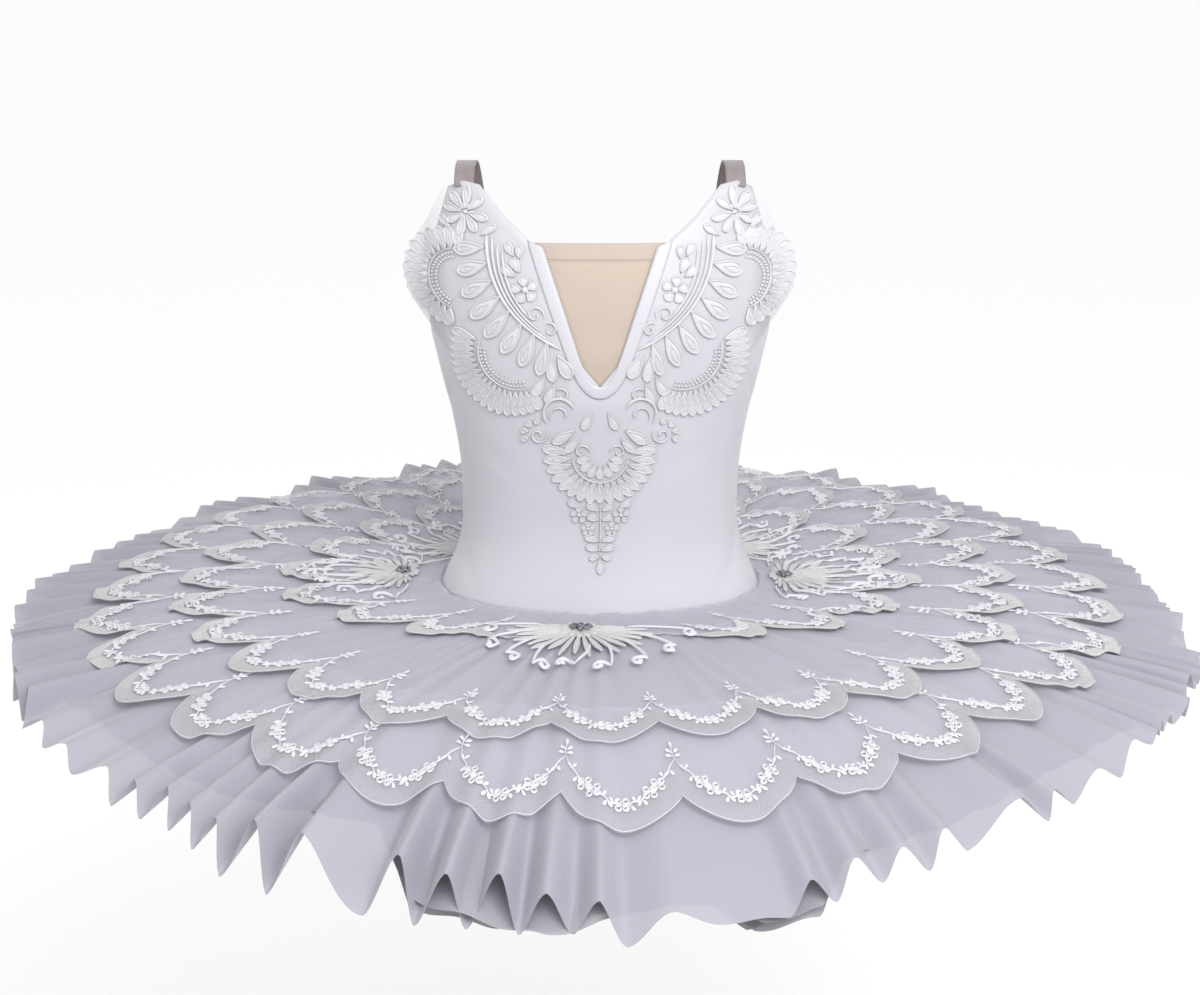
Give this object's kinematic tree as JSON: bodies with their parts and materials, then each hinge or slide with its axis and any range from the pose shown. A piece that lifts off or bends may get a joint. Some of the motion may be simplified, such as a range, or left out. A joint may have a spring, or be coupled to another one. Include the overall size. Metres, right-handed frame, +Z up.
{
  "type": "ballet tutu",
  "caption": "Child's classical ballet tutu: satin bodice with corded lace and nude V insert, flat plate of gathered net with scalloped lace tiers and jewelled medallions.",
  "frame": {"origin": "middle of the waist, level with the narrowest section of the bodice", "axes": "+Z up the wearer's back, front of the bodice faces -Y, +X to the wearer's left"},
  "size_m": [0.8807, 0.8806, 0.46],
  "materials": {
    "satin": "smooth stretch satin",
    "nude_stretch": "matt stretch tricot",
    "nude_elastic": "narrow soft elastic",
    "net": "stiff hexagonal net",
    "lace": "corded lace and embroidery on net",
    "embroidery": "raised satin-stitch embroidery",
    "rhinestone": "faceted stones in a dark setting"
  },
  "bodies": {
    "root": {"bodice_back": "satin", "bodice_front": "satin", "brief_back": "satin", "brief_front": "satin", "centre_lace": "lace", "chest_lace_left": "lace", "chest_lace_right": "lace", "gem_1": "rhinestone", "gem_2": "rhinestone", "gem_3": "rhinestone", "gem_4": "rhinestone", "gem_5": "rhinestone", "gem_6": "rhinestone", "lace_tier_inner": "lace", "lace_tier_middle": "lace", "lace_tier_outer": "lace", "medallion_1": "embroidery", "medallion_2": "embroidery", "medallion_3": "embroidery", "medallion_4": "embroidery", "medallion_5": "embroidery", "medallion_6": "embroidery", "neck_binding": "satin", "neck_insert": "nude_stretch", "neck_insert_band": "nude_stretch", "net_layer_1": "net", "net_layer_2": "net", "net_layer_3": "net", "net_layer_4": "net", "strap_left": "nude_elastic", "strap_right": "nude_elastic"}
  },
  "joints": []
}
